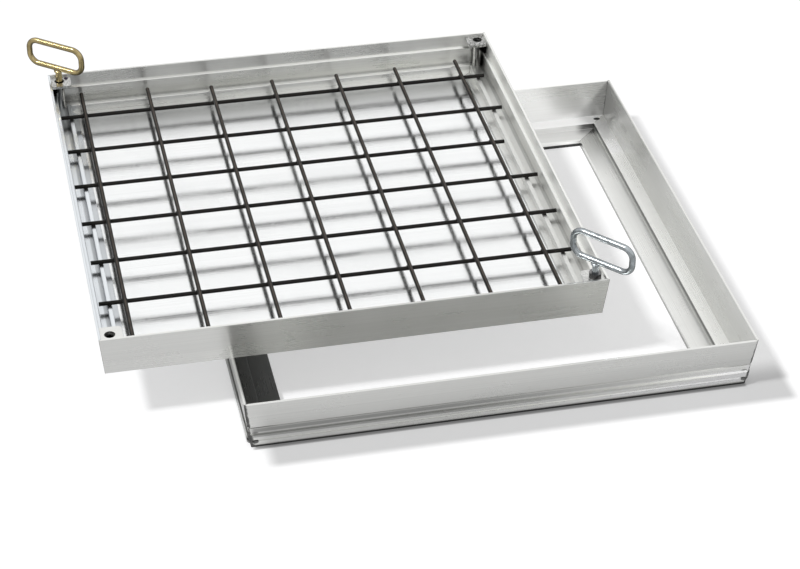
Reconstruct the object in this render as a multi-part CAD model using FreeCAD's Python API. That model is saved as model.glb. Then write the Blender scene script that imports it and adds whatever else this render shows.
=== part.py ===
# Recessed paving cover: a square aluminium frame, and its fillable tray laid
# across the frame's rim, shifted to the left and to the back.
# Millimetres, Z up, the floor at Z 0, the origin under the middle of the box round it all.
import FreeCAD, Part
import math
import os

os.makedirs("parts", exist_ok=True)

# How far the tray lies from the frame's middle
TRAY_SHIFT_X = -183.0
TRAY_SHIFT_Y = 95.0

# Frame: insets are measured in from its outer edge, heights from the floor
FRAME_SIZE = 720.0
FRAME_HEIGHT = 80.0
RIM = 4.0
FRAME_WALL_FOOT = 10.5
LEDGE_HEIGHT = 20.0
LEDGE_END = 32.0
FLANGE_TOP = 10.0
FLANGE_END = 64.0
FRAME_SHEET = 3.0
EDGE = 0.5
WALL_LEAN = 4.4
GROOVE_TOP = 38.0
GROOVE_LOW = 26.5
GROOVE_WIDE = 3.0
GROOVE_DEEP = 2.4
BAND_IN = 6.0
TOE_GROOVE = 16.0
TOE_GROOVE_WIDE = 2.0
TOE_GROOVE_DEEP = 1.5
FOOT_IN = 4.5
FOOT_UNDERCUT = 7.0
UNDERCUT_DEEP = 5.0
CORNER_GROUND_TOP = 3.0
CORNER_GROUND_FOOT = 20.0

# Tray: insets are measured in from its outer edge, heights from its underside
CLEARANCE = 2.0
TRAY_SIZE = FRAME_SIZE - 2 * (RIM + CLEARANCE)
TRAY_HEIGHT = FRAME_HEIGHT - LEDGE_HEIGHT
TRAY_RIM = 3.6
TRAY_LEAN = 5.5
TRAY_SHEET = 2.6
BEAD_TOP = 39.6
BEAD_THICK = 3.6
BEAD_IN = 10.0
GUTTER = 10.6
RIB_START = 24.5
RIB_WIDE = 6.5
RIB_TOP = 18.4
LIP_WIDE = 9.0
LIP_THICK = 3.0
PLATE = 3.0

# Mesh: seven bars each way, with each bar's own small offset and ends where the photo has them
BAR_R = 3.0
MESH_EDGE = 54.0
MESH_FORWARD = 18.0
DOWN_OFFSET = (-4.8, -0.8, -0.9, -3.7, 0.3, -3.2, -2.5)
DOWN_BACK_GAP = (14.8, 19.3, 32.4, 33.3, 35.9, 33.7, 28.4)
DOWN_FRONT_GAP = 16.0
CROSS_OFFSET = (0.2, -0.3, 0.8, 0.7, 0.6, -0.4, 0.0)
CROSS_LEFT_GAP = (9.7, 9.9, 10.1, 10.6, 13.3, 13.2, 13.0)
CROSS_RIGHT_GAP = (18.4, 14.7, 36.5, 10.6, 8.8, 14.9, 14.0)

# Lifting sockets and handles
SOCKET_IN = 16.5
CORNER_PLATE_IN = 34.0
CORNER_PLATE_DROP = 4.0
CORNER_PLATE_THICK = 4.0
CORNER_PLATE_ROUND = 6.0
CORNER_HOLE_R = 7.5
BUSH_R = 7.0
BUSH_FLANGE_OUT = 1.5
BUSH_FLANGE_HIGH = 3.0
PIN_R = 5.0
PIN_CLEARANCE = 0.15
LOOP_LONG = 104.0
LOOP_HIGH = 49.0
LOOP_WIRE_R = 4.5
LOOP_CORNER_R = 20.0
GOLD_PIN_SHOWS = 19.0
GOLD_TURN = 38.5
GOLD_OFFSET = -3.3
SILVER_PIN_SHOWS = 22.0
SILVER_TURN = 48.0
SILVER_OFFSET = 9.0
NUT_FLAT = 17.0
NUT_HIGH = 8.0
NUT_CLEARANCE = 0.05

HALF_FRAME = FRAME_SIZE / 2
HALF_TRAY = TRAY_SIZE / 2
RIB_END = RIB_START + RIB_WIDE
CORNER_PLATE_TOP = TRAY_HEIGHT - CORNER_PLATE_DROP
socket = HALF_TRAY - SOCKET_IN

# The frame's middle stands so that the origin is midway between the outermost handle and frame edges
loop_end = LOOP_LONG / 2 - LOOP_WIRE_R - GOLD_OFFSET
reach_x = socket + loop_end * math.cos(math.radians(GOLD_TURN)) + LOOP_WIRE_R
reach_y = socket + loop_end * math.sin(math.radians(GOLD_TURN)) + LOOP_WIRE_R
FRAME_X = (reach_x - TRAY_SHIFT_X - HALF_FRAME) / 2
FRAME_Y = -(reach_y + TRAY_SHIFT_Y - HALF_FRAME) / 2
TRAY_X = FRAME_X + TRAY_SHIFT_X
TRAY_Y = FRAME_Y + TRAY_SHIFT_Y
TRAY_Z = FRAME_HEIGHT


def v(x, y, z=0.0):
    return FreeCAD.Vector(x, y, z)


def moved(shape, x, y, z):
    out = shape.copy()
    out.translate(v(x, y, z))
    return out


def turned(shape, degrees):
    out = shape.copy()
    out.rotate(v(0, 0, 0), v(0, 0, 1), degrees)
    return out


def ring_wire(points, half):
    """A section, given as inset from the outer edge and height, standing at the front side."""
    corners = [v(-half, -half + inset, height) for inset, height in points]
    return Part.makePolygon(corners + [corners[0]])


def mitred_rail(section, chamber, half, height):
    """The front rail of a square ring: the section run along X and mitred at 45 degrees."""
    face = Part.Face([ring_wire(section, half), ring_wire(chamber, half)])
    bar = face.extrude(v(2 * half, 0, 0))
    far = half + 9
    wedge = Part.Face(Part.makePolygon([v(-far, -far, -1), v(far, -far, -1), v(0, 0, -1), v(-far, -far, -1)]))
    return bar.common(wedge.extrude(v(0, 0, height + 2)))


def box_section(inset_low, inset_high, low, high):
    return [(inset_low, low), (inset_high, low), (inset_high, high), (inset_low, high)]


SIDES = (("front", 0), ("right", 90), ("back", 180), ("left", 270))
parts = {}

# Frame rails: a leaning wall with outside grooves and an undercut foot, a hollow ledge, a low flange
band_top = GROOVE_TOP - GROOVE_WIDE
foot_top = GROOVE_LOW - GROOVE_WIDE
toe_top = TOE_GROOVE - TOE_GROOVE_WIDE
frame_section = [
    (EDGE, FRAME_HEIGHT),
    (RIM - EDGE, FRAME_HEIGHT),
    (RIM, FRAME_HEIGHT - EDGE),
    (FRAME_WALL_FOOT, LEDGE_HEIGHT),
    (LEDGE_END - EDGE, LEDGE_HEIGHT),
    (LEDGE_END, LEDGE_HEIGHT - EDGE),
    (LEDGE_END, FLANGE_TOP),
    (FLANGE_END, FLANGE_TOP),
    (FLANGE_END, 0),
    (FLANGE_END - FRAME_SHEET, 0),
    (FLANGE_END - FRAME_SHEET, FLANGE_TOP - FRAME_SHEET),
    (LEDGE_END, FLANGE_TOP - FRAME_SHEET),
    (LEDGE_END, 0),
    (FOOT_IN + UNDERCUT_DEEP, 0),
    (FOOT_IN + UNDERCUT_DEEP, FOOT_UNDERCUT - EDGE),
    (FOOT_IN, FOOT_UNDERCUT),
    (FOOT_IN, toe_top),
    (FOOT_IN + TOE_GROOVE_DEEP, toe_top),
    (FOOT_IN + TOE_GROOVE_DEEP, TOE_GROOVE),
    (FOOT_IN, TOE_GROOVE),
    (FOOT_IN, foot_top),
    (FOOT_IN + GROOVE_DEEP, foot_top),
    (FOOT_IN + GROOVE_DEEP, GROOVE_LOW),
    (BAND_IN, GROOVE_LOW),
    (BAND_IN, band_top),
    (WALL_LEAN + GROOVE_DEEP, band_top),
    (WALL_LEAN + GROOVE_DEEP, GROOVE_TOP),
    (WALL_LEAN, GROOVE_TOP),
    (0, FRAME_HEIGHT - EDGE),
]
frame_chamber = box_section(FOOT_IN + UNDERCUT_DEEP + FRAME_SHEET, LEDGE_END - FRAME_SHEET,
                            FRAME_SHEET, LEDGE_HEIGHT - FRAME_SHEET)
frame_rail = mitred_rail(frame_section, frame_chamber, HALF_FRAME, FRAME_HEIGHT)

# The outside corners are ground back at the weld, little at the rim and more at the foot
diagonal = HALF_FRAME * math.sqrt(2)
ground_face = [v(diagonal - CORNER_GROUND_FOOT / math.sqrt(2), -50, 0), v(diagonal + 20, -50, 0),
               v(diagonal + 20, -50, FRAME_HEIGHT), v(diagonal - CORNER_GROUND_TOP / math.sqrt(2), -50, FRAME_HEIGHT)]
ground = Part.Face(Part.makePolygon(ground_face + ground_face[:1])).extrude(v(0, 100, 0))
frame_rail = frame_rail.cut(turned(ground, -45)).cut(turned(ground, -135))
for name, angle in SIDES:
    parts["frame_rail_" + name] = moved(turned(frame_rail, angle), FRAME_X, FRAME_Y, 0)


def tray_inside(height):
    """Inset of the tray wall's inner face at a height: it leans as the outer face does."""
    return TRAY_RIM + TRAY_LEAN * (TRAY_HEIGHT - height) / TRAY_HEIGHT


# Tray rails: a leaning wall with a bead inside, a gutter over a chamber, a rib for the mesh, a lip
bead_low = BEAD_TOP - BEAD_THICK
bead_round = BEAD_THICK / 4
tray_section = [
    (EDGE, TRAY_HEIGHT),
    (TRAY_RIM - EDGE, TRAY_HEIGHT),
    (TRAY_RIM, TRAY_HEIGHT - EDGE),
    (tray_inside(BEAD_TOP), BEAD_TOP),
    (BEAD_IN - bead_round, BEAD_TOP),
    (BEAD_IN, BEAD_TOP - bead_round),
    (BEAD_IN, bead_low + bead_round),
    (BEAD_IN - bead_round, bead_low),
    (tray_inside(bead_low), bead_low),
    (tray_inside(GUTTER), GUTTER),
    (RIB_START, GUTTER),
    (RIB_START, RIB_TOP - EDGE),
    (RIB_START + EDGE, RIB_TOP),
    (RIB_END - EDGE, RIB_TOP),
    (RIB_END, RIB_TOP - EDGE),
    (RIB_END, PLATE + LIP_THICK),
    (RIB_END + LIP_WIDE, PLATE + LIP_THICK),
    (RIB_END + LIP_WIDE, PLATE),
    (RIB_END, PLATE),
    (RIB_END, 0),
    (TRAY_LEAN, 0),
    (0, TRAY_HEIGHT - EDGE),
]
tray_chamber = box_section(TRAY_LEAN + TRAY_SHEET, RIB_END - TRAY_SHEET, TRAY_SHEET, GUTTER - TRAY_SHEET)
tray_rail = mitred_rail(tray_section, tray_chamber, HALF_TRAY, TRAY_HEIGHT)
tray_rails = [moved(turned(tray_rail, angle), TRAY_X, TRAY_Y, TRAY_Z) for _, angle in SIDES]
for (name, _), rail in zip(SIDES, tray_rails):
    parts["tray_rail_" + name] = rail

# Bottom plate, let in under the lips and between the ribs
half_plate = HALF_TRAY - RIB_END
parts["tray_plate"] = moved(Part.makeBox(2 * half_plate, 2 * half_plate, PLATE), TRAY_X - half_plate,
                            TRAY_Y - half_plate, TRAY_Z)

# Mesh bars: the cross bars lie on the ribs, the down bars on the cross bars
cross_z = TRAY_Z + RIB_TOP + BAR_R
down_z = cross_z + 2 * BAR_R
bars = len(DOWN_OFFSET)
pitch = 2 * (HALF_TRAY - MESH_EDGE) / (bars - 1)
for i in range(bars):
    y = HALF_TRAY - MESH_EDGE - i * pitch - MESH_FORWARD + CROSS_OFFSET[i]
    left = -HALF_TRAY + CROSS_LEFT_GAP[i]
    right = HALF_TRAY - CROSS_RIGHT_GAP[i]
    parts["mesh_cross_bar_%d" % (i + 1)] = Part.makeCylinder(
        BAR_R, right - left, v(TRAY_X + left, TRAY_Y + y, cross_z), v(1, 0, 0))
    x = MESH_EDGE - HALF_TRAY + i * pitch + DOWN_OFFSET[i]
    front = -HALF_TRAY + DOWN_FRONT_GAP
    back = HALF_TRAY - DOWN_BACK_GAP[i]
    parts["mesh_down_bar_%d" % (i + 1)] = Part.makeCylinder(
        BAR_R, back - front, v(TRAY_X + x, TRAY_Y + front, down_z), v(0, 1, 0))

# Corner plates and the lifting bushes under them, both fitted to the tray's walls
CORNERS = (("front_left", -1, -1), ("front_right", 1, -1), ("back_right", 1, 1), ("back_left", -1, 1))
plate_low = CORNER_PLATE_TOP - CORNER_PLATE_THICK
inner = HALF_TRAY - CORNER_PLATE_IN
outer = HALF_TRAY - TRAY_RIM / 2
for name, sx, sy in CORNERS:
    plate = Part.makeBox(outer - inner, outer - inner, CORNER_PLATE_THICK,
                         v(min(sx * inner, sx * outer), min(sy * inner, sy * outer), plate_low))
    rounded = [e for e in plate.Edges
               if all(abs(p.X - sx * inner) < 0.01 and abs(p.Y - sy * inner) < 0.01 for p in e.Vertexes)]
    plate = plate.makeFillet(CORNER_PLATE_ROUND, rounded)
    plate = plate.cut(Part.makeCylinder(CORNER_HOLE_R, CORNER_PLATE_THICK + 2,
                                        v(sx * socket, sy * socket, plate_low - 1)))
    bush = Part.makeCylinder(BUSH_R, plate_low - GUTTER, v(sx * socket, sy * socket, GUTTER))
    bush = bush.fuse(Part.makeCylinder(CORNER_HOLE_R + BUSH_FLANGE_OUT, BUSH_FLANGE_HIGH,
                                       v(sx * socket, sy * socket, plate_low - BUSH_FLANGE_HIGH)))
    bush = bush.removeSplitter()
    bush = bush.cut(Part.makeCylinder(PIN_R + PIN_CLEARANCE, plate_low - GUTTER + 2,
                                      v(sx * socket, sy * socket, GUTTER - 1)))
    plate = moved(plate, TRAY_X, TRAY_Y, TRAY_Z)
    bush = moved(bush, TRAY_X, TRAY_Y, TRAY_Z)
    for rail in tray_rails:
        plate = plate.cut(rail)
        bush = bush.cut(rail)
    parts["corner_plate_" + name] = plate
    parts["lift_bush_" + name] = bush


def rounded_loop(long, high, corner, wire):
    """A closed round-cornered loop of wire in the XZ plane round the origin."""
    a = long / 2 - wire
    b = high / 2 - wire
    k = corner - wire
    solids = []
    for sx in (-1, 1):
        solids.append(Part.makeCylinder(wire, 2 * (b - k), v(sx * a, 0, -(b - k)), v(0, 0, 1)))
    for sz in (-1, 1):
        solids.append(Part.makeCylinder(wire, 2 * (a - k), v(-(a - k), 0, sz * b), v(1, 0, 0)))
    for sx, sz, start in ((1, 1, 0), (-1, 1, 90), (-1, -1, 180), (1, -1, 270)):
        disc = Part.Face(Part.Wire(Part.makeCircle(wire, v(k, 0, 0), v(0, 0, 1))))
        bend = disc.revolve(v(0, 0, 0), v(0, -1, 0), 90)
        bend.rotate(v(0, 0, 0), v(0, -1, 0), start)
        bend.translate(v(sx * (a - k), 0, sz * (b - k)))
        solids.append(bend)
    body = solids[0]
    for other in solids[1:]:
        body = body.fuse(other)
    return body.removeSplitter()


# Lifting handles: each loop is turned on its pin, and the pin is welded off the loop's middle
HANDLES = (("gold", -1, 1, GOLD_TURN, GOLD_OFFSET, GOLD_PIN_SHOWS),
           ("silver", 1, -1, SILVER_TURN, SILVER_OFFSET, SILVER_PIN_SHOWS))
for name, sx, sy, turn, offset, shows in HANDLES:
    loop = moved(rounded_loop(LOOP_LONG, LOOP_HIGH, LOOP_CORNER_R, LOOP_WIRE_R), offset, 0, 0)
    loop_low = CORNER_PLATE_TOP + shows
    loop = moved(turned(loop, -turn), TRAY_X + sx * socket, TRAY_Y + sy * socket,
                 TRAY_Z + loop_low + LOOP_HIGH / 2)
    pin = Part.makeCylinder(PIN_R, loop_low + LOOP_WIRE_R - GUTTER, v(sx * socket, sy * socket, GUTTER))
    parts["handle_loop_" + name] = loop
    parts["handle_pin_" + name] = moved(pin, TRAY_X, TRAY_Y, TRAY_Z).cut(loop)

# Locking nut on the silver handle's pin, its top edges bevelled
radius = NUT_FLAT / math.sqrt(3)
hexagon = []
for i in range(6):
    angle = math.radians(60 * i + 15)
    hexagon.append(v(radius * math.cos(angle), radius * math.sin(angle), 0))
nut = Part.Face(Part.makePolygon(hexagon + [hexagon[0]])).extrude(v(0, 0, NUT_HIGH))
nut = nut.common(Part.makeCone(NUT_FLAT / 2 + NUT_HIGH / 2, NUT_FLAT / 2, NUT_HIGH))
nut = nut.cut(Part.makeCylinder(PIN_R + NUT_CLEARANCE, NUT_HIGH + 2, v(0, 0, -1)))
parts["lock_nut_silver"] = moved(nut, TRAY_X + socket, TRAY_Y - socket, TRAY_Z + CORNER_PLATE_TOP)

for name in sorted(parts):
    shape = parts[name]
    if len(shape.Solids) != 1 or not shape.isValid():
        print("CHECK", name, len(shape.Solids), shape.isValid())
    shape.Solids[0].exportStep("parts/" + name + ".step")
print("nodes", len(parts), "frame middle", FRAME_X, FRAME_Y, "tray middle", TRAY_X, TRAY_Y)
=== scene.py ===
import math

import bmesh
import bpy
from bpy.props import FloatProperty, FloatVectorProperty, PointerProperty
from mathutils import Matrix, Vector


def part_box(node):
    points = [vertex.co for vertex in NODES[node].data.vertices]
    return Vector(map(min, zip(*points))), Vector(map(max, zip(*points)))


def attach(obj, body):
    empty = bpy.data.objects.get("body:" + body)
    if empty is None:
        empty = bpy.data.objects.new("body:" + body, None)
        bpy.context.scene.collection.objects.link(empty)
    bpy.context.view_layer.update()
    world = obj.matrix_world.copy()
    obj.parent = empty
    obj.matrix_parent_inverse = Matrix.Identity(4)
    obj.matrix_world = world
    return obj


bl_info = {
    "name": "Recessed paving cover",
    "version": (1, 0, 0),
    "blender": (4, 5, 0),
    "location": "View3D > Sidebar > Paving cover",
    "description": "Finishes and fine fittings for a recessed paving cover, and the stage it lies on",
    "category": "Object",
}

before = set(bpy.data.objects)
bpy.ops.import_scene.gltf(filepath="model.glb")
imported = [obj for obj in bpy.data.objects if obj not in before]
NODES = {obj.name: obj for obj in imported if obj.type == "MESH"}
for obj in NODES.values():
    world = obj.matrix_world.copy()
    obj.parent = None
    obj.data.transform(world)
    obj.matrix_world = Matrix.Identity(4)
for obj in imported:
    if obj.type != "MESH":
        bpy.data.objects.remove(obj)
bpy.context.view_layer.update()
MM = 0.001

SIDES = ("front", "right", "back", "left")
CORNERS = ("front_left", "front_right", "back_right", "back_left")
RUNS_ALONG_X = ("front", "back")
BARS = range(1, 8)


def middle_of(*names):
    """The middle of the box round some CAD nodes."""
    lows, highs = zip(*(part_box(name) for name in names))
    low = Vector(min(p[i] for p in lows) for i in range(3))
    high = Vector(max(p[i] for p in highs) for i in range(3))
    return (low + high) / 2


FRAME_MIDDLE = middle_of(*["frame_rail_" + side for side in SIDES])
TRAY_MIDDLE = middle_of(*["tray_rail_" + side for side in SIDES])
FRAME_HALF = (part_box("frame_rail_right")[1].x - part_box("frame_rail_left")[0].x) / 2
TRAY_HALF = (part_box("tray_rail_right")[1].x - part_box("tray_rail_left")[0].x) / 2
TRAY_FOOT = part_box("tray_rail_front")[0].z

# A handle's loop: its turn about Z, the radius of its wire and of its bends, half its straight runs,
# and the way its bright side faces, away from which painted shade darkens the wire
GOLD_TURN = math.radians(38.5)
SILVER_TURN = math.radians(48.0)
LOOP_WIRE = 4.5 * MM
LOOP_BEND = 15.5 * MM
LOOP_CORE = (32.0 * MM, 4.5 * MM)
LOOP_FRONT = Vector((-0.18, -0.79, 0.58))

# The frame rail's section as on the solids, in millimetres in from its outside face or up from the floor
FRAME_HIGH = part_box("frame_rail_front")[1].z / MM
WALL_OUT = 7.6
WALL_IN = 11.0
LEDGE_TOP = 20.0
LEDGE_END = 31.2
FLANGE_IN = 32.4
FLANGE_END = 63.3
TOE_HIGH = 7.0
GROUND_HALF = 20.0
GROUND_LEAN = 0.2125

# The tray rail's section, likewise
TRAY_WALL_OUT = 7.0
TRAY_BEAD = 38.0
TRAY_RIM_IN = 3.8

# How rough the rails are, and how far a dark speckle and an even darkening darken each corner plate
RAIL_ROUGH = 0.30
TRAY_RIGHT_ROUGH = 0.42
CORNER_DARKENING = {"back_right": 0.62, "back_left": 0.40, "front_right": 0.22, "front_left": 0.04}


class Shade:
    """A socket in a node tree, so that shader maths is written as plain expressions."""

    def __init__(self, tree, socket):
        self.tree = tree
        self.socket = socket

    def node(self, kind, settings=None, out=0, **values):
        """A new node: first its settings, then its sockets by name or number."""
        made = self.tree.nodes.new(kind)
        for key, value in (settings or {}).items():
            setattr(made, key, value)
        for key, value in values.items():
            if key[0] == "i" and key[1:].isdigit():
                socket = made.inputs[int(key[1:])]
            else:
                socket = made.inputs[key.replace("_", " ")]
            if isinstance(value, Shade):
                self.tree.links.new(value.socket, socket)
            elif isinstance(value, tuple) and len(value) == 3 and socket.type == "RGBA":
                socket.default_value = (*value, 1)
            else:
                socket.default_value = value
        return Shade(self.tree, made.outputs[out])

    def maths(self, operation, *values):
        named = {"i%d" % i: value for i, value in enumerate(values)}
        return self.node("ShaderNodeMath", {"operation": operation}, **named)

    def __add__(self, other):
        return self.maths("ADD", self, other)

    __radd__ = __add__

    def __sub__(self, other):
        return self.maths("SUBTRACT", self, other)

    def __rsub__(self, other):
        return self.maths("SUBTRACT", other, self)

    def __mul__(self, other):
        return self.maths("MULTIPLY", self, other)

    __rmul__ = __mul__

    def __truediv__(self, other):
        return self.maths("DIVIDE", self, other)

    def __pow__(self, other):
        return self.maths("POWER", self, other)

    def step(self, low, high, start=0.0, end=1.0):
        """Smoothly from start to end as this value goes from low to high."""
        return self.node("ShaderNodeMapRange", {"interpolation_type": "SMOOTHSTEP"}, Value=self,
                         From_Min=low, From_Max=high, To_Min=start, To_Max=end)

    def noise(self, scale, detail=2.0, rough=0.5, seed=0.0):
        """Noise at these coordinates, with its scale along X, Y and Z."""
        moved = (seed, seed * 1.7, seed * 0.6)
        placed = self.node("ShaderNodeMapping", Vector=self, Scale=scale, Location=moved)
        return self.node("ShaderNodeTexNoise", Vector=placed, Scale=1.0, Detail=detail, Roughness=rough)

    def part(self, axis):
        """One of the three values of a vector."""
        return self.node("ShaderNodeSeparateXYZ", out="XYZ".index(axis), Vector=self)

    def size(self):
        """This value without its sign."""
        return self.maths("ABSOLUTE", self)

    def clamped(self, half):
        """This value kept between minus half and half."""
        return self.maths("MAXIMUM", self.maths("MINIMUM", self, half), -half)

    def scaled(self, tone):
        """This colour times one number."""
        return self.node("ShaderNodeVectorMath", {"operation": "SCALE"}, i0=self, Scale=tone)

    def between(self, low, high):
        """From one colour to another as this value goes from nothing to one."""
        low = low if isinstance(low, Shade) else (*low, 1)
        return self.node("ShaderNodeMix", {"data_type": "RGBA"}, out=2, i0=self, i6=low, i7=(*high, 1))

    def band(self, low, high, soft=0.15):
        """One between low and high, and nothing beyond."""
        return self.step(low - soft, low + soft) * self.step(high - soft, high + soft, 1.0, 0.0)


def material(name):
    """A new material's tree, its Principled shader and its Object coordinates."""
    made = bpy.data.materials.new(name)
    made.use_nodes = True
    tree = made.node_tree
    shader = next(n for n in tree.nodes if n.type == "BSDF_PRINCIPLED")
    start = Shade(tree, None)
    place = start.node("ShaderNodeTexCoord", out=3)
    return made, tree, shader, place


def feed(tree, shader, **values):
    """Sets or links the shader's sockets by name."""
    for key, value in values.items():
        socket = shader.inputs[key.replace("_", " ")]
        if isinstance(value, Shade):
            tree.links.new(value.socket, socket)
        elif isinstance(value, tuple) and len(value) == 3:
            socket.default_value = (*value, 1)
        else:
            socket.default_value = value


def times(colour, share, limit=math.inf):
    """A colour of plain numbers, each times a share."""
    return tuple(min(limit, c * share) for c in colour)


def bumped(tree, shader, height, strength, distance):
    """Lets a height tilt the shader's normal."""
    bump = height.node("ShaderNodeBump", Strength=strength, Distance=distance, Height=height)
    tree.links.new(bump.socket, shader.inputs["Normal"])


class OnRail:
    """Where a point lies on a mitred ring's rail, in millimetres."""

    def __init__(self, place, middle, half, foot, side):
        x = place.part("X") - middle.x
        y = place.part("Y") - middle.y
        across, along = (y, x) if side in RUNS_ALONG_X else (x, y)
        self.inset = (half - across.size()) * 1000.0
        self.end = (half - along.size()) * 1000.0
        self.height = (place.part("Z") - foot) * 1000.0
        self.back = (half - y) * 1000.0
        self.right = (half - x) * 1000.0
        self.grime = place.noise((110.0, 110.0, 110.0), detail=5.0, rough=0.65, seed=2.0)


def outside_painted_light(at, side):
    """Tone of a frame rail's outer face: painted shade in the grooves and at the foot, painted highlight
    bands, and dark spots.
    """
    outside = at.inset.step(WALL_OUT - 0.2, WALL_OUT + 0.2, 1.0, 0.0)
    open_groove = outside * at.end.step(7.0, 15.0)
    left = at.right.step(60.0, 480.0)
    # painted shade: the grooves and the band between them darker, most towards the left end
    tone = 1.0 - open_groove * at.height.band(27.5, 34.5, 1.8) * (left * 0.34 + 0.18)
    tone = tone * (1.0 - open_groove * at.height.band(35.0, 38.0) * left * 0.25)
    tone = tone * (1.0 - open_groove * at.height.band(20.5, 25.5, 0.8) * (left * 0.34 + 0.10))
    # painted highlight: a lighter band above the foot, and the face lighter towards the right end
    tone = tone * (outside * at.height.band(9.6, 14.5, 1.0) * (0.20 - left * 0.12) + 1.0)
    tone = tone * ((1.0 - left) * outside * at.height.band(10.0, 35.0, 1.0) * 0.22 + 1.0)
    # painted highlight along the front rail's right end
    if side == "front":
        right_end_highlight = at.right.step(20.0, 200.0, 0.22, 0.0)
        tone = tone * (outside * at.height.band(10.0, 38.0, 1.0) * right_end_highlight + 1.0)
    # painted shade: a dark line along the foot
    tone = tone * (1.0 - outside * at.height.step(6.6, 9.0, 0.66, 0.0))
    # painted shade in the undercut under the wall
    toe = at.height.step(TOE_HIGH - 0.2, TOE_HIGH + 0.1, 1.0, 0.0)
    tone = tone * (1.0 - at.inset.step(WALL_IN, WALL_IN + 0.4, 1.0, 0.0) * toe * 0.78)
    for level, deep, high in ((27.0, 0.55, 1.9), (13.0, 0.8, 3.3)):
        spot = ((at.end - 15.0) / 4.6) ** 2.0 + ((at.height - level) / high) ** 2.0
        tone = tone * (1.0 - outside * spot.step(0.5, 1.3, deep, 0.0))
    return tone


def ledge_painted_light(at, side):
    """Tone of a frame rail's ledge and flange, and of the step and the lip that end them: painted
    highlight and shade.
    """
    ledge = at.inset.band(WALL_IN, LEDGE_END) * at.height.band(LEDGE_TOP - 0.5, LEDGE_TOP + 1.0)
    # painted highlight: the ledge's top lighter
    tone = ledge * 0.22 + 1.0
    # painted shade on the left rail's ledge and flange, under the tray
    if side == "left":
        tone = tone * (1.0 - at.inset.step(WALL_IN, WALL_IN + 1.0) * 0.55)
    # takes part of the back rail's painted light off its flange
    if side == "back":
        tone = tone * (1.0 - at.inset.band(FLANGE_IN, 60.0) * 0.16)
    # painted highlight on the right rail's ledge and painted shade on its flange, near the back end
    if side == "right":
        tone = tone * (ledge * at.back.step(90.0, 160.0, 0.18, 0.0) + 1.0)
        shaded_back_end = at.back.step(110.0, 190.0, 0.18, 0.0)
        tone = tone * (1.0 - at.inset.band(FLANGE_IN, 63.0) * shaded_back_end)
    # painted shade on the step's face, on the back rail only near its ends
    step_face = at.inset.band(LEDGE_END + 0.1, LEDGE_END + 1.4) * at.height.band(10.2, 19.6)
    if side == "back":
        tone = tone * (1.0 - step_face * at.end.step(48.0, 66.0, 0.8, 0.05))
    else:
        tone = tone * (1.0 - step_face * at.height.step(13.0, 15.5, 0.34, 0.82))
    # painted shadow of the step on the flange beside it
    if side in ("left", "right"):
        step_shadow = at.inset.step(FLANGE_IN, 38.0, 0.16, 0.0)
        tone = tone * (1.0 - at.inset.band(FLANGE_IN, 60.0) * step_shadow)
    # painted shade on the lip under the flange's edge, deepest on the back rail
    lip = at.inset.step(FLANGE_END, FLANGE_END + 0.3) * at.height.step(5.0, 5.6, 1.0, 0.0)
    return tone * (1.0 - lip * (0.93 if side == "back" else 0.4))


def wall_painted_shade(at, side):
    """Painted shade on the inner face of a frame rail's wall, darker near its corners or along one end.
    """
    past_rim = at.inset - (FRAME_HIGH - at.height) * 0.1
    wall = (past_rim.step(2.1, 2.3) * at.inset.step(WALL_IN, WALL_IN + 0.4, 1.0, 0.0)
            * at.height.step(LEDGE_TOP + 0.2, LEDGE_TOP + 0.5))
    # painted shade near the corners, and on the side rails deepening towards the back
    if side in ("front", "back"):
        reach = 5.0 + (FRAME_HIGH - at.height) * 0.85
        tone = 1.0 - wall * (at.end / reach).step(0.72, 1.2, 0.42, 0.0)
    else:
        tone = 1.0 - wall * at.back.step(20.0, 420.0, 0.44, 0.22)
    # a little more painted shade near the ends of the inner faces
    return tone * (1.0 - at.end.step(20.0, 60.0, 0.10, 0.0) * at.inset.step(WALL_IN, WALL_IN + 0.4))


def joint_tone(at):
    """Tone of a frame's welded joints: a dark spot on the ledge, the seam, and the ground corner."""
    spot = ((at.right - 24.0) / 5.5) ** 2.0 + ((at.back - 20.0) / 3.8) ** 2.0
    tone = 1.0 - at.height.band(LEDGE_TOP - 0.5, LEDGE_TOP + 1.0) * spot.step(0.6, 1.3, 0.95, 0.0)
    seam = (at.end - at.inset).size() + at.grime * 1.2
    tone = tone * (1.0 - seam.step(0.8, 1.6, 0.45, 0.0))
    ground = at.end + at.inset - (GROUND_HALF - at.height * GROUND_LEAN) + (at.grime - 0.5) * 3.0
    cut = ground.step(-0.2, 1.4, 1.0, 0.0) * at.inset.step(WALL_IN, WALL_IN + 0.4, 1.0, 0.0)
    ragged = (at.end - at.inset).size() + (at.grime - 0.5) * 8.0 - (FRAME_HIGH - at.height) * 0.05
    return tone * (1.0 - cut * ragged.step(1.5, 4.0, 0.86, 0.42))


def frame_shade_and_joints(place, side):
    """Tone of a frame rail: mostly painted light and shade, with its dark joints."""
    at = OnRail(place, FRAME_MIDDLE, FRAME_HALF, 0.0, side)
    return outside_painted_light(at, side) * ledge_painted_light(at, side) * wall_painted_shade(at, side) * joint_tone(at)


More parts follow.
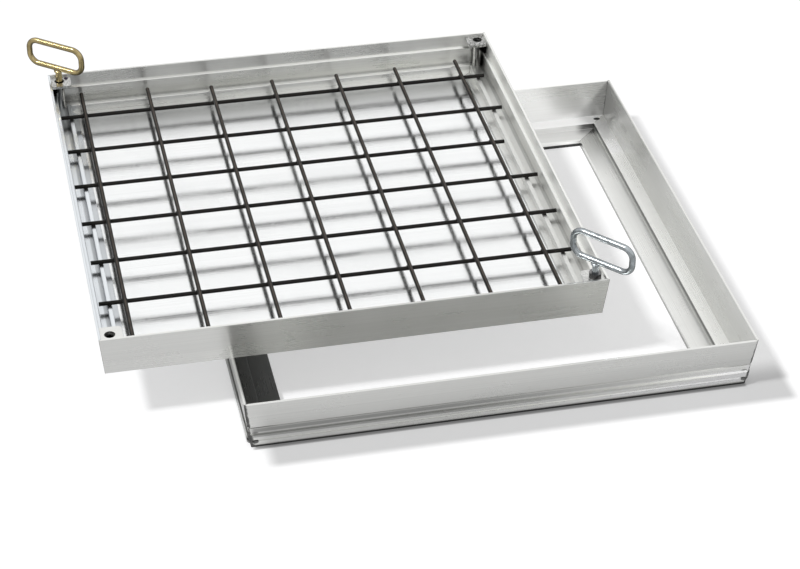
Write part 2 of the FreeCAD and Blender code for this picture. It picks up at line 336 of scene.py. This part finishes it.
def tray_shade_and_seams(place, side):
    """Tone of a tray rail: dark joints, painted shade round the lifting sockets, in the gutters and by
    the ribs, and painted light on the walls.
    """
    at = OnRail(place, TRAY_MIDDLE, TRAY_HALF, TRAY_FOOT, side)
    inset, end, height = at.inset, at.end, at.height
    inside = inset.step(TRAY_WALL_OUT - 0.5, TRAY_WALL_OUT + 0.5)
    # painted shade under the corner plates, round the lifting sockets
    under = height.band(10.2, 52.0, 1.0) * inside
    tone = 1.0 - under * end.step(18.0, 48.0, 0.5, 0.0)
    tone = tone * (1.0 - under * (end + inset).step(18.0, 36.0, 0.7, 0.0))
    # painted shade in the gutter
    tone = tone * (1.0 - inset.band(7.4, 12.5, 0.8) * height.step(11.0, 16.0, 0.3, 0.0))
    # painted shade beside the bushes near the back
    if side in ("left", "right"):
        above = (inset.step(TRAY_RIM_IN - 0.1, TRAY_RIM_IN + 0.2) * height.band(37.0, 59.0, 1.0)
                 * end.band(15.0, 33.0, 2.0))
        tone = tone * (1.0 - above * at.back.step(60.0, 80.0, 0.85, 0.0))
    # painted shade on both sides of the left rib
    if side == "left":
        tone = tone * (1.0 - inset.band(19.5, 25.0, 1.5) * 0.42)
        tone = tone * (1.0 - inset.band(31.5, 42.0, 1.0) * 0.2)
    # painted light: lighter towards the right end, and a little below the bead
    if side == "back":
        tone = tone * at.right.step(60.0, 640.0, 1.16, 0.95)
        tone = tone * (inside * height.step(TRAY_BEAD - 2.0, TRAY_BEAD + 0.5, 0.02, 0.0) + 1.0)
    # painted light above the bead, and painted shade below it
    if side == "right":
        tone = tone * (inside * height.step(TRAY_BEAD, TRAY_BEAD + 3.0, -0.10, 0.25) + 1.0)
    # painted shade on the right part of the front's outer face
    if side == "front":
        tone = tone * (1.0 - (1.0 - inside) * at.right.step(380.0, 470.0, 0.2, 0.0))
    seam = (end - inset).size() + at.grime * 1.2
    return tone * (1.0 - seam.step(0.7, 1.5, 0.55, 0.0))


def plate_marks(place, side):
    """Tone of the bottom plate: darker towards its back side."""
    at = OnRail(place, TRAY_MIDDLE, TRAY_HALF, TRAY_FOOT, side)
    return 1.0 - at.back.step(50.0, 165.0, 0.38, 0.0)


def corner_marks(place, corner):
    """Tone of a corner plate: a dark speckle and an even darkening, heavy on one corner and light on the
    others.
    """
    heavy = CORNER_DARKENING[corner]
    speckle = place.noise((420.0, 420.0, 420.0), detail=3.0, rough=0.6, seed=31.0)
    return (1.0 - speckle.step(0.42, 0.56, 0.0, heavy)) * (1.0 - heavy * 0.4)


def mill_aluminium(name, grain, colour, rough=RAIL_ROUGH, seed=0.0, marks=None, side=None,
                   spread=0.8, metal=1.0, streak=0.25, ripple=0.01 * MM):
    """Extruded or rolled aluminium: fine lines along the grain, faint smears and rub marks."""
    made, tree, shader, place = material(name)
    fine_scale = (1.5, 700.0, 700.0) if grain == "X" else (700.0, 1.5, 700.0)
    broad_scale = (0.8, 60.0, 60.0) if grain == "X" else (60.0, 0.8, 60.0)
    fine_lines = place.noise(fine_scale, detail=2.0, rough=0.6, seed=seed)
    broad_lines = place.noise(broad_scale, detail=2.0, seed=seed + 3)
    smears = place.noise((9.0, 9.0, 14.0), detail=4.0, rough=0.6, seed=seed + 7)
    tone = (fine_lines * 0.45 + broad_lines * 0.3 + smears * 0.25).step(0.25, 0.75)
    painted = tone.between(times(colour, 0.93), times(colour, 1.04, 1.0))
    # marks scales the colour by a tone that holds painted light and shade as well as dark seams and
    # speckle
    if marks:
        painted = painted.scaled(marks(place, side))
    feed(tree, shader, Base_Color=painted, Metallic=metal, Anisotropic=spread,
         Roughness=smears.step(0.42, 0.7) * 0.06 + (fine_lines * 0.05 + (rough - 0.05)))
    across = (0.0, 1.0) if grain == "X" else (1.0, 0.0)
    tangent = place.node("ShaderNodeCombineXYZ", X=across[0], Y=across[1], Z=0.35)
    tree.links.new(tangent.socket, shader.inputs["Tangent"])
    bumped(tree, shader, fine_lines, streak, ripple)
    return made


def drawn_wire(name, colour, along, seed=0.0, top_highlight=None, top=0.0):
    """Dull drawn steel bar: scale marks, a little rust bloom, lengthwise lines and a painted highlight
    along the top.
    """
    made, tree, shader, place = material(name)
    scale = (4.0, 500.0, 500.0) if along == "X" else (500.0, 4.0, 500.0)
    lines = place.noise(scale, detail=2.0, seed=seed)
    blotch = place.noise((60.0, 60.0, 60.0), detail=4.0, rough=0.65, seed=seed + 2)
    tone = (lines * 0.5 + blotch * 0.5).step(0.3, 0.7)
    painted = tone.between(times(colour, 0.5), times(colour, 1.5))
    if top_highlight:
        # painted highlight along the top of the bar, broken up by the blotches
        highlighted = place.part("Z").step(top - 0.35 * MM, top - 0.1 * MM) * blotch.step(0.3, 0.6, 0.3, 1.0)
        painted = highlighted.between(painted, top_highlight)
    feed(tree, shader, Base_Color=painted, Metallic=0.0, Roughness=blotch * 0.2 + 0.35,
         Specular_IOR_Level=0.16)
    bumped(tree, shader, blotch + lines * 0.3, 0.4, 0.1 * MM)
    return made


def loop_side_shade(place, node, turn):
    """Mask for the painted shade on a turned loop's wire: one along its upper and lower sides, nothing
    along its front.
    """
    low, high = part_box(node)
    middle = (low + high) / 2
    x = place.part("X") - middle.x
    y = place.part("Y") - middle.y
    z = place.part("Z") - middle.z
    along = x * math.cos(turn) - y * math.sin(turn)
    out = x * math.sin(turn) + y * math.cos(turn)
    core = along - along.clamped(LOOP_CORE[0])
    rise = z - z.clamped(LOOP_CORE[1])
    reach = (core ** 2.0 + rise ** 2.0 + 1e-9) ** 0.5
    off = (reach - LOOP_BEND) / reach
    front_along = LOOP_FRONT.x * math.cos(turn) - LOOP_FRONT.y * math.sin(turn)
    front_out = LOOP_FRONT.x * math.sin(turn) + LOOP_FRONT.y * math.cos(turn)
    facing = (core * off * front_along + rise * off * LOOP_FRONT.z + out * front_out) / LOOP_WIRE
    return facing.size().step(0.35, 0.85, 1.0, 0.0)


def plated_steel(name, colour, dark, seed=0.0, loop=None, sides=0.7, grain=(90.0, 90.0, 90.0),
                 shaded_above=None):
    """Zinc plated steel: bright and cloudy, with painted shade along the sides of a loop's wire or over a
    bush's top.
    """
    made, tree, shader, place = material(name)
    cloud = place.noise(grain, detail=3.0, seed=seed)
    speck = place.noise((700.0, 700.0, 700.0), detail=2.0, seed=seed + 5)
    painted = cloud.step(0.35, 0.65).between(dark, colour)
    # painted shade over the top few millimetres of a bush
    if shaded_above:
        flange = place.part("Z").step(shaded_above - 3.4 * MM, shaded_above - 3.0 * MM, 1.0, 0.12)
        painted = painted.scaled(flange)
    # painted shade along the sides of the loop's wire, away from the side that faces LOOP_FRONT
    if loop:
        painted = painted.scaled(1.0 - loop_side_shade(place, *loop) * sides)
    feed(tree, shader, Base_Color=painted, Metallic=1.0, Roughness=cloud * 0.12 + speck * 0.06 + 0.12)
    bumped(tree, shader, speck * 0.15 + cloud, 0.15, 0.04 * MM)
    return made


class CoverFinishes(bpy.types.PropertyGroup):
    aluminium: FloatVectorProperty(
        name="Aluminium", description="Colour of the frame and the tray",
        subtype="COLOR", size=3, default=(0.782, 0.785, 0.765))
    tray_left: FloatVectorProperty(
        name="Left rail", description="Colour of the tray's cooler left rail",
        subtype="COLOR", size=3, default=(0.745, 0.775, 0.80))
    plate: FloatVectorProperty(
        name="Plate", description="Colour of the tray's bottom plate",
        subtype="COLOR", size=3, default=(0.86, 0.87, 0.87))
    wire: FloatVectorProperty(
        name="Mesh wire", description="Colour of the mesh bars",
        subtype="COLOR", size=3, default=(0.009, 0.008, 0.007))
    # painted highlight colour along the top of the down bars
    wire_highlight: FloatVectorProperty(
        name="Highlighted wire", description="Colour of the mesh bars where their top is rubbed",
        subtype="COLOR", size=3, default=(0.07, 0.056, 0.046))
    gold: FloatVectorProperty(
        name="Yellow zinc", description="Colour of the yellow plated handle",
        subtype="COLOR", size=3, default=(0.50, 0.40, 0.20))
    silver: FloatVectorProperty(
        name="Bright zinc", description="Colour of the bright plated handle",
        subtype="COLOR", size=3, default=(0.43, 0.465, 0.485))
    bush: FloatVectorProperty(
        name="Bushes", description="Colour of the lifting bushes",
        subtype="COLOR", size=3, default=(0.62, 0.62, 0.60))
    nut: FloatVectorProperty(
        name="Nut", description="Colour of the locking nut",
        subtype="COLOR", size=3, default=(0.20, 0.20, 0.20))
    screw: FloatVectorProperty(
        name="Screw", description="Colour of the corner plate's screw",
        subtype="COLOR", size=3, default=(0.06, 0.045, 0.08))
    # painted light: the frame's back rail is a lighter copy of the aluminium
    back_rail_painted_light: FloatProperty(
        name="Back rail", description="How much lighter the frame's back rail is", default=1.25)
    # painted light: the tray's right rail is a lighter copy of the aluminium
    right_rail_painted_light: FloatProperty(
        name="Right rail", description="How much lighter the tray's right rail is", default=1.10)


class CoverSizes(bpy.types.PropertyGroup):
    nugget: FloatProperty(
        name="Weld nugget", description="How far a nugget spreads beyond its bars",
        unit="LENGTH", default=1.4 * MM)
    tack: FloatProperty(
        name="Weld tack", description="Half the thickness of a tack on a rib",
        unit="LENGTH", default=1.9 * MM)
    rib_middle: FloatProperty(
        name="Rib in", description="From the tray's outside to the middle of its ribs",
        unit="LENGTH", default=27.75 * MM)
    handle_weld: FloatProperty(
        name="Handle weld", description="Radius of the bead on a handle's pin",
        unit="LENGTH", default=7.2 * MM)
    screw_head: FloatProperty(
        name="Screw head", description="Radius of the plate's screw head",
        unit="LENGTH", default=3.2 * MM)
    screw_from_left: FloatProperty(
        name="Screw in from the left", description="From the tray's left side to the screw",
        unit="LENGTH", default=27.5 * MM)
    screw_from_back: FloatProperty(
        name="Screw in from the back", description="From the tray's back side to the screw",
        unit="LENGTH", default=10.0 * MM)


class CoverStage(bpy.types.PropertyGroup):
    camera_azimuth: FloatProperty(
        name="Camera azimuth", description="How far the view turns from +Y towards +X",
        subtype="ANGLE", default=0.22709826)
    camera_elevation: FloatProperty(
        name="Camera elevation", description="How far the view looks down",
        subtype="ANGLE", default=0.62188305)
    camera_roll: FloatProperty(
        name="Camera roll", description="Turn of the camera about its own view",
        subtype="ANGLE", default=0.01602429)
    camera_place: FloatVectorProperty(
        name="Camera place", description="Camera, from the middle of the frame's foot",
        subtype="TRANSLATION", size=3, default=(-0.701975, -2.746143, 2.003738))
    lens: FloatProperty(
        name="Lens", description="Focal length in millimetres on a 36 mm sensor", default=104.506)
    key: FloatProperty(
        name="Key light", description="Strength of the soft lamp, in watts a square metre", default=2.1)
    ambient: FloatProperty(
        name="Soft light", description="Strength of the light from all round", default=0.38)
    floor_glow: FloatProperty(
        name="Floor glow", description="How much of the floor's white doesn't depend on shade",
        default=0.50)
    floor_in_metal: FloatProperty(
        name="Floor glow in metal", description="Share of that glow that metal mirrors", default=0.34)
    floor_in_frame: FloatProperty(
        name="Floor glow in the frame", description="More of it that the frame's inside mirrors",
        default=1.10)
    front_shade: FloatProperty(
        name="Front shade", description="Depth of the soft shade in front of the frame", default=0.40)
    contact_shade: FloatProperty(
        name="Contact shade", description="Depth of the narrow shade under the frame's edge", default=0.5)


def use(finish, *names):
    """Gives CAD nodes one material."""
    for name in names:
        slots = NODES[name].data.materials
        slots.clear()
        slots.append(finish)


def bars(run):
    """The names of the mesh bars of one run."""
    return ["mesh_%s_bar_%d" % (run, i) for i in BARS]


class PAVING_OT_finishes(bpy.types.Operator):
    """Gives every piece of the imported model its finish"""

    bl_idname = "paving.finishes"
    bl_label = "Finishes"

    def execute(self, context):
        look = context.scene.cover_finishes
        for number, side in enumerate(SIDES):
            grain = "X" if side in RUNS_ALONG_X else "Y"
            seed = number * 4.3
            # painted light on the frame's back rail
            colour = times(look.aluminium, look.back_rail_painted_light if side == "back" else 1.0)
            use(mill_aluminium("frame_%s_aluminium" % side, grain, colour, RAIL_ROUGH, seed,
                               frame_shade_and_joints, side), "frame_rail_" + side)
            rough = TRAY_RIGHT_ROUGH if side == "right" else RAIL_ROUGH
            colour = look.tray_left if side == "left" else look.aluminium
            # painted light on the tray's right rail
            colour = times(colour, look.right_rail_painted_light if side == "right" else 1.0)
            use(mill_aluminium("tray_%s_aluminium" % side, grain, colour, rough, seed + 20,
                               tray_shade_and_seams, side), "tray_rail_" + side)
        use(mill_aluminium("tray_plate_aluminium", "X", look.plate, 0.14, 51.0, plate_marks, "back",
                           spread=1.0, metal=0.95, streak=0.8, ripple=0.13 * MM), "tray_plate")
        for number, corner in enumerate(CORNERS):
            use(mill_aluminium("corner_plate_" + corner, "X", look.aluminium, RAIL_ROUGH, 60.0 + number,
                               corner_marks, corner), "corner_plate_" + corner)
        use(drawn_wire("cross_wire", look.wire, "X", 1.0), *bars("cross"))
        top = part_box("mesh_down_bar_1")[1].z
        # the down bars get the painted highlight along their top
        use(drawn_wire("down_wire", look.wire, "Y", 5.0, look.wire_highlight, top), *bars("down"))
        for name, colour, turn, sides in (("gold", look.gold, GOLD_TURN, 0.74),
                                          ("silver", look.silver, SILVER_TURN, 0.5)):
            dark = times(colour, 0.7)
            loop = "handle_loop_" + name
            use(plated_steel(name + "_loop_zinc", colour, dark, 2.0, (loop, turn), sides), loop)
            use(plated_steel(name + "_pin_zinc", colour, dark, 4.0), "handle_pin_" + name)
        # the bushes: the dark end of the cloud paints their shade under the corner plates, and streaks
        # along Z paint upright highlights
        use(plated_steel("shaded_streaked_zinc", look.bush, times(look.bush, 0.12), 6.0, grain=(260.0, 260.0, 14.0),
                         shaded_above=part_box("lift_bush_front_left")[1].z),
            *["lift_bush_" + corner for corner in CORNERS])
        use(plated_steel("dark_nut", look.nut, times(look.nut, 0.3), 9.0), "lock_nut_silver")
        return {"FINISHED"}


def bead(bm, middle, size, level=2):
    """Adds one small rounded blob to a mesh that is being built."""
    made = bmesh.ops.create_icosphere(bm, subdivisions=level, radius=1.0)
    bmesh.ops.scale(bm, vec=size, verts=made["verts"])
    bmesh.ops.translate(bm, vec=middle, verts=made["verts"])


def fitting(name, bm, finish):
    """Makes a finished mesh an object of its own on the cover."""
    bmesh.ops.recalc_face_normals(bm, faces=bm.faces)
    mesh = bpy.data.meshes.new(name)
    bm.to_mesh(mesh)
    bm.free()
    mesh.materials.append(finish)
    for face in mesh.polygons:
        face.use_smooth = True
    made = bpy.data.objects.new(name, mesh)
    bpy.context.scene.collection.objects.link(made)
    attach(made, "root")


class PAVING_OT_mesh_welds(bpy.types.Operator):
    """Weld nuggets where the mesh bars cross, and the tacks that hold the mesh on the tray's ribs"""

    bl_idname = "paving.mesh_welds"
    bl_label = "Mesh welds"

    def execute(self, context):
        sizes = context.scene.cover_sizes
        finish = NODES["mesh_cross_bar_1"].data.materials[0]
        across = [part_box(name) for name in bars("cross")]
        down = [middle_of(name) for name in bars("down")]
        radius = (across[0][1].z - across[0][0].z) / 2

        bm = bmesh.new()
        nugget = (radius + sizes.nugget, radius + sizes.nugget, radius * 0.8)
        for low, high in across:
            bar = (low + high) / 2
            for other in down:
                bead(bm, (other.x, bar.y, (bar.z + other.z) / 2), nugget)
        fitting("mesh_nuggets", bm, finish)

        bm = bmesh.new()
        tack = (sizes.tack * 1.5, sizes.tack, sizes.tack)
        reach = TRAY_HALF - sizes.rib_middle
        for low, high in across:
            bar = (low + high) / 2
            for x in (TRAY_MIDDLE.x - reach, TRAY_MIDDLE.x + reach):
                if low.x < x < high.x:
                    for y in (bar.y - radius, bar.y + radius):
                        bead(bm, (x, y, low.z + sizes.tack * 0.5), tack)
        fitting("mesh_tacks", bm, finish)
        return {"FINISHED"}


class PAVING_OT_handle_welds(bpy.types.Operator):
    """The bead of weld that joins each lifting handle's loop to its pin"""

    bl_idname = "paving.handle_welds"
    bl_label = "Handle welds"

    def execute(self, context):
        sizes = context.scene.cover_sizes
        for name, slot in (("gold", "yellow_zinc"), ("silver", "bright_zinc")):
            pin = middle_of("handle_pin_" + name)
            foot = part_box("handle_loop_" + name)[0].z
            weld = (sizes.handle_weld, sizes.handle_weld, sizes.handle_weld * 0.45)
            bm = bmesh.new()
            bead(bm, (pin.x, pin.y, foot), weld, 3)
            fitting("handle_weld_" + name, bm, NODES["handle_pin_" + name].data.materials[0])
        return {"FINISHED"}


class PAVING_OT_plate_screw(bpy.types.Operator):
    """The small dark screw in the back left corner plate"""

    bl_idname = "paving.plate_screw"
    bl_label = "Plate screw"

    def execute(self, context):
        sizes = context.scene.cover_sizes
        made, tree, shader, _ = material("dark_screw")
        feed(tree, shader, Base_Color=tuple(context.scene.cover_finishes.screw), Metallic=0.6,
             Roughness=0.4)
        bm = bmesh.new()
        high = sizes.screw_head * 0.5
        bmesh.ops.create_cone(bm, cap_ends=True, segments=24, radius1=sizes.screw_head,
                              radius2=sizes.screw_head * 0.8, depth=high)
        rim = [edge for edge in bm.edges if all(v.co.z > 0 for v in edge.verts)]
        bmesh.ops.bevel(bm, geom=rim, offset=high * 0.35, affect="EDGES", segments=3, profile=0.5,
                        material=-1)
        seat = Vector((TRAY_MIDDLE.x - TRAY_HALF + sizes.screw_from_left,
                       TRAY_MIDDLE.y + TRAY_HALF - sizes.screw_from_back,
                       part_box("corner_plate_back_left")[1].z + high / 2))
        bmesh.ops.translate(bm, vec=seat, verts=bm.verts)
        fitting("plate_screw_back_left", bm, made)
        return {"FINISHED"}


def rays(start):
    """One for rays straight to the camera, and one for rays seen in a mirror or through glass."""
    seen = start.node("ShaderNodeLightPath", out=0)
    path = seen.socket.node
    mirrored = Shade(start.tree, path.outputs["Is Glossy Ray"])
    return seen, mirrored + Shade(start.tree, path.outputs["Is Transmission Ray"])


class PAVING_OT_stage(bpy.types.Operator):
    """Floor, light and the camera at the photograph's angle"""

    bl_idname = "paving.stage"
    bl_label = "Stage"

    def floor(self, scene, stage):
        """A pale floor, with a soft shade in front of the frame and a narrow one under its edge."""
        bm = bmesh.new()
        bmesh.ops.create_grid(bm, x_segments=1, y_segments=1, size=30.0)
        mesh = bpy.data.meshes.new("floor")
        bm.to_mesh(mesh)
        bm.free()
        floor = bpy.data.objects.new("floor", mesh)
        scene.collection.objects.link(floor)

        made = bpy.data.materials.new("pale_floor")
        made.use_nodes = True
        tree = made.node_tree
        tree.nodes.clear()
        start = Shade(tree, None)
        seen, mirrored = rays(start)
        place = start.node("ShaderNodeTexCoord", out=3)
        x = place.part("X") - FRAME_MIDDLE.x
        y = place.part("Y") - FRAME_MIDDLE.y
        inside = x.step(0.15, 0.18) * x.step(0.28, 0.30, 1.0, 0.0) * y.size().step(0.28, 0.30, 1.0, 0.0)
        foot = 4.5 * MM - FRAME_HALF
        soft = 9 * MM
        under = y.step(foot + soft, foot + 60 * MM, 1.0, 0.0)
        band = (under * y.step(foot - 40 * MM - soft, foot - 40 * MM + soft)
                * x.step(foot + 30 * MM - 2 * soft, foot + 30 * MM + soft)
                * x.step(55 * MM - foot - soft, 55 * MM - foot + soft, 1.0, 0.0))
        contact = (under * y.step(foot - 3 * MM, foot) * x.step(foot + 4 * MM, foot + 12 * MM)
                   * x.step(-foot - 8 * MM, -foot - 2 * MM, 1.0, 0.0))
        kept = (1.0 - band * stage.front_shade) * (1.0 - contact * stage.contact_shade)
        shows = seen + mirrored * (stage.floor_in_metal + inside * stage.floor_in_frame)
        white = start.node("ShaderNodeCombineXYZ", X=kept * 0.60, Y=kept * 0.60, Z=kept * 0.605)
        lit = start.node("ShaderNodeBsdfDiffuse", Color=white)
        glow = start.node("ShaderNodeEmission", Color=(1.0, 1.0, 1.0),
                          Strength=shows * kept * stage.floor_glow)
        both = start.node("ShaderNodeAddShader", i0=lit, i1=glow)
        out = tree.nodes.new("ShaderNodeOutputMaterial")
        tree.links.new(both.socket, out.inputs["Surface"])
        floor.data.materials.append(made)

    def light(self, scene, stage):
        """A white room that is darker low down in mirror images, and one soft lamp."""
        world = bpy.data.worlds.new("studio")
        scene.world = world
        world.use_nodes = True
        tree = world.node_tree
        tree.nodes.clear()
        start = Shade(tree, None)
        seen, mirrored = rays(start)
        heading = start.node("ShaderNodeTexCoord", out=0)
        side = heading.part("Y").step(-0.9, 0.6, 0.85, 1.0)
        height = heading.part("Z").step(0.0, 0.5, 0.62, 1.15)
        strength = seen + mirrored * side * height + (1.0 - seen - mirrored) * stage.ambient
        back = start.node("ShaderNodeBackground", Color=(1.0, 1.0, 1.0), Strength=strength)
        out = tree.nodes.new("ShaderNodeOutputWorld")
        tree.links.new(back.socket, out.inputs["Surface"])

        lamp = bpy.data.lights.new("key", "SUN")
        lamp.energy = stage.key
        lamp.angle = math.radians(8.0)
        key = bpy.data.objects.new("key", lamp)
        fall = Vector((0.70, 0.12, -1.0)).to_track_quat("-Z", "Y")
        key.matrix_world = Matrix.Translation((-1.5, 1.0, 3.0)) @ fall.to_matrix().to_4x4()
        scene.collection.objects.link(key)

    def camera(self, scene, stage):
        """The camera, where the photograph's was."""
        lens = bpy.data.cameras.new("camera")
        lens.sensor_width = 36.0
        lens.sensor_fit = "HORIZONTAL"
        lens.lens = stage.lens
        lens.clip_end = 100.0
        camera = bpy.data.objects.new("camera", lens)
        foot = Vector((FRAME_MIDDLE.x, FRAME_MIDDLE.y, 0.0))
        camera.matrix_world = (Matrix.Translation(foot + Vector(stage.camera_place))
                               @ Matrix.Rotation(-stage.camera_azimuth, 4, "Z")
                               @ Matrix.Rotation(math.pi / 2 - stage.camera_elevation, 4, "X")
                               @ Matrix.Rotation(stage.camera_roll, 4, "Z"))
        scene.collection.objects.link(camera)
        scene.camera = camera

    def execute(self, context):
        scene = context.scene
        stage = scene.cover_stage
        scene.view_settings.view_transform = "Standard"
        self.floor(scene, stage)
        self.light(scene, stage)
        self.camera(scene, stage)
        return {"FINISHED"}


class PAVING_PT_panel(bpy.types.Panel):
    bl_idname = "PAVING_PT_panel"
    bl_label = "Paving cover"
    bl_space_type = "VIEW_3D"
    bl_region_type = "UI"
    bl_category = "Paving cover"

    def draw(self, context):
        scene = context.scene
        for operator in OPERATORS:
            self.layout.operator(operator.bl_idname)
        for group in (scene.cover_finishes, scene.cover_sizes, scene.cover_stage):
            for name in group.bl_rna.properties.keys():
                if name not in ("rna_type", "name"):
                    self.layout.prop(group, name)


OPERATORS = (PAVING_OT_stage, PAVING_OT_finishes, PAVING_OT_mesh_welds, PAVING_OT_handle_welds,
             PAVING_OT_plate_screw)
CLASSES = (CoverFinishes, CoverSizes, CoverStage, *OPERATORS, PAVING_PT_panel)


def register():
    for cls in CLASSES:
        bpy.utils.register_class(cls)
    bpy.types.Scene.cover_finishes = PointerProperty(type=CoverFinishes)
    bpy.types.Scene.cover_sizes = PointerProperty(type=CoverSizes)
    bpy.types.Scene.cover_stage = PointerProperty(type=CoverStage)


def unregister():
    del bpy.types.Scene.cover_stage
    del bpy.types.Scene.cover_sizes
    del bpy.types.Scene.cover_finishes
    for cls in reversed(CLASSES):
        bpy.utils.unregister_class(cls)


def main():
    register()
    bpy.ops.paving.stage()
    bpy.ops.paving.finishes()
    bpy.ops.paving.mesh_welds()
    bpy.ops.paving.handle_welds()
    bpy.ops.paving.plate_screw()


if __name__ == "__main__":
    main()
